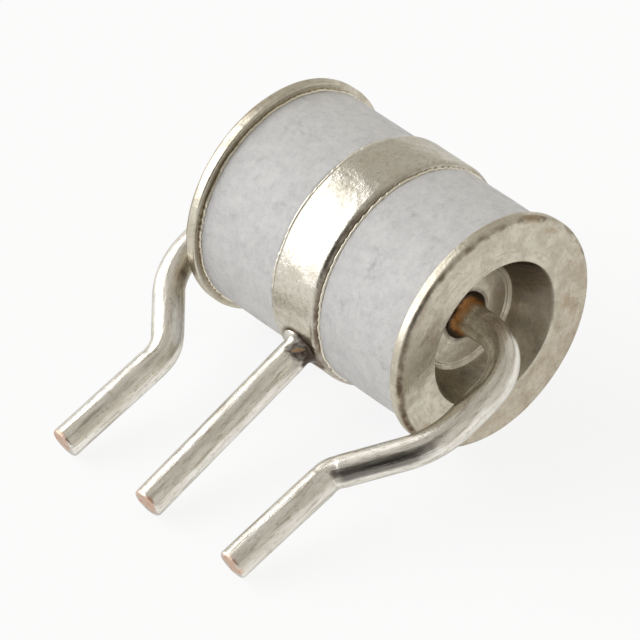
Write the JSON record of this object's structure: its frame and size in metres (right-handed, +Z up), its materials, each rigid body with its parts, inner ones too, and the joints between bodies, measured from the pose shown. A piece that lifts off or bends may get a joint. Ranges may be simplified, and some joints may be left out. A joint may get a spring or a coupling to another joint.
{
  "type": "gas discharge tube",
  "caption": "Ceramic surge arrester tube with flanged end electrodes, a metal ring electrode between two sleeves, and formed wire leads for a circuit board.",
  "frame": {"origin": "middle of the resting part's box, on the surface that it lies on", "axes": "+X along the tube's axis towards the right end, -Y the way the leads point, +Z up from the surface"},
  "size_m": [0.0132, 0.0144, 0.008],
  "materials": {
    "plated_metal": "satin nickel plate, lightly tarnished",
    "alumina": "matte",
    "silver_braze": "bright, pebbled",
    "emissive_salt": "matte, grainy",
    "graphite": "matte",
    "tinned_wire": "bright hot-dipped tin"
  },
  "bodies": {
    "root": {"left_end_electrode": "plated_metal", "right_end_electrode": "plated_metal", "centre_electrode": "plated_metal", "left_ceramic_sleeve": "alumina", "right_ceramic_sleeve": "alumina", "left_outer_braze": "silver_braze", "left_inner_braze": "silver_braze", "right_inner_braze": "silver_braze", "right_outer_braze": "silver_braze", "left_emissive_coating": "emissive_salt", "right_emissive_coating": "emissive_salt", "left_ignition_stripes": "graphite", "right_ignition_stripes": "graphite", "left_lead": "tinned_wire", "centre_lead": "tinned_wire", "right_lead": "tinned_wire"}
  },
  "joints": []
}
